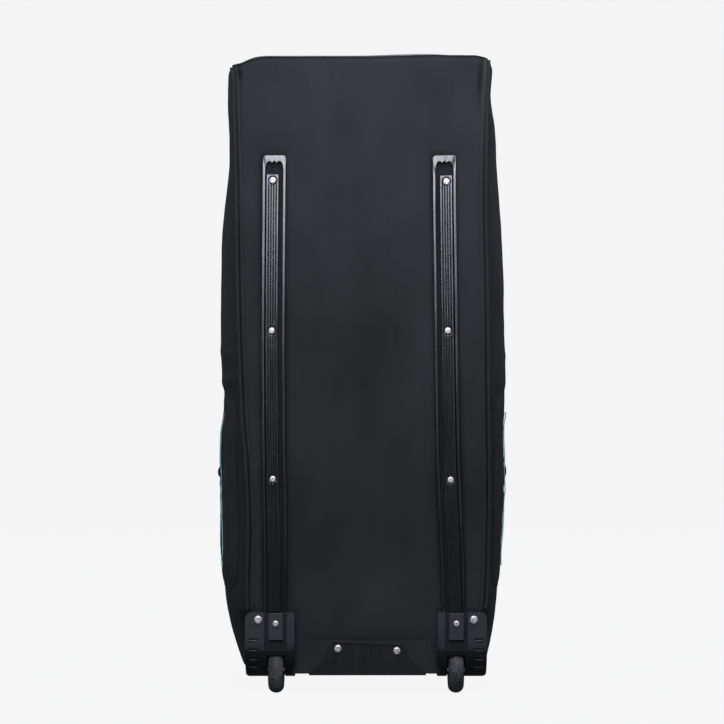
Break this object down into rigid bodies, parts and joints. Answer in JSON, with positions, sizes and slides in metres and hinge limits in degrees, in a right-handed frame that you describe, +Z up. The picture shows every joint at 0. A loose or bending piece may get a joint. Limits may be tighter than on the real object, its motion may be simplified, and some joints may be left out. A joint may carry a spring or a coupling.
{
  "type": "wheeled cricket kit bag",
  "caption": "Tall upright fabric kit bag with a zipped front lid, side pockets, skid rails down its back and two corner wheels.",
  "frame": {"origin": "on the floor, under the middle of the upright bag", "axes": "+Z up the bag, +Y towards the zipped front, -Y towards the skid rails and wheels, +X to the right seen from the back"},
  "size_m": [0.4394, 0.3335, 0.9616],
  "materials": {
    "fabric": "matt woven polyester",
    "piping": "cloth-covered cord",
    "webbing": "ribbed webbing",
    "accent": "matt print or tape",
    "zip": "coil zip",
    "hard_plastic": "moulded, slightly glossy",
    "wheel_rubber": "scuffed",
    "screw_steel": "bright plated"
  },
  "bodies": {
    "bag": {"back_panel": "fabric", "top_panel": "fabric", "base_panel": "fabric", "front_border": "fabric", "lid_panel": "fabric", "main_zip": "zip", "main_zip_left_slider": "zip", "main_zip_left_pull": "zip", "main_zip_right_slider": "zip", "main_zip_right_pull": "zip", "pull_handle": "webbing", "guard_plate": "hard_plastic", "guard_screw_1": "screw_steel", "guard_screw_2": "screw_steel", "side_panel_left": "fabric", "piping_left": "piping", "side_pocket_left": "fabric", "side_zip_left": "accent", "side_zip_pull_left": "zip", "wheel_housing_left": "hard_plastic", "housing_screw_left": "screw_steel", "rail_block_left": "hard_plastic", "block_screw_left": "screw_steel", "rail_channel_left": "hard_plastic", "rail_bar_left": "hard_plastic", "rail_screw_left_1": "screw_steel", "rail_screw_left_2": "screw_steel", "rail_screw_left_3": "screw_steel", "wheel_axle_left": "screw_steel", "front_foot_left": "hard_plastic", "side_panel_right": "fabric", "piping_right": "piping", "side_pocket_right": "fabric", "side_zip_right": "accent", "side_zip_pull_right": "zip", "wheel_housing_right": "hard_plastic", "housing_screw_right": "screw_steel", "rail_block_right": "hard_plastic", "block_screw_right": "screw_steel", "rail_channel_right": "hard_plastic", "rail_bar_right": "hard_plastic", "rail_screw_right_1": "screw_steel", "rail_screw_right_2": "screw_steel", "rail_screw_right_3": "screw_steel", "wheel_axle_right": "screw_steel", "front_foot_right": "hard_plastic"},
    "wheel_left": {"wheel_tyre_left": "wheel_rubber", "wheel_hub_left": "hard_plastic"},
    "wheel_right": {"wheel_tyre_right": "wheel_rubber", "wheel_hub_right": "hard_plastic"}
  },
  "joints": [
    {"name": "wheel_left_spin", "type": "hinge", "parent": "bag", "child": "wheel_left", "pos_m": [-0.1281, -0.135, 0.034], "axis": [1, 0, 0], "continuous": true},
    {"name": "wheel_right_spin", "type": "hinge", "parent": "bag", "child": "wheel_right", "pos_m": [0.1369, -0.135, 0.034], "axis": [1, 0, 0], "continuous": true}
  ]
}
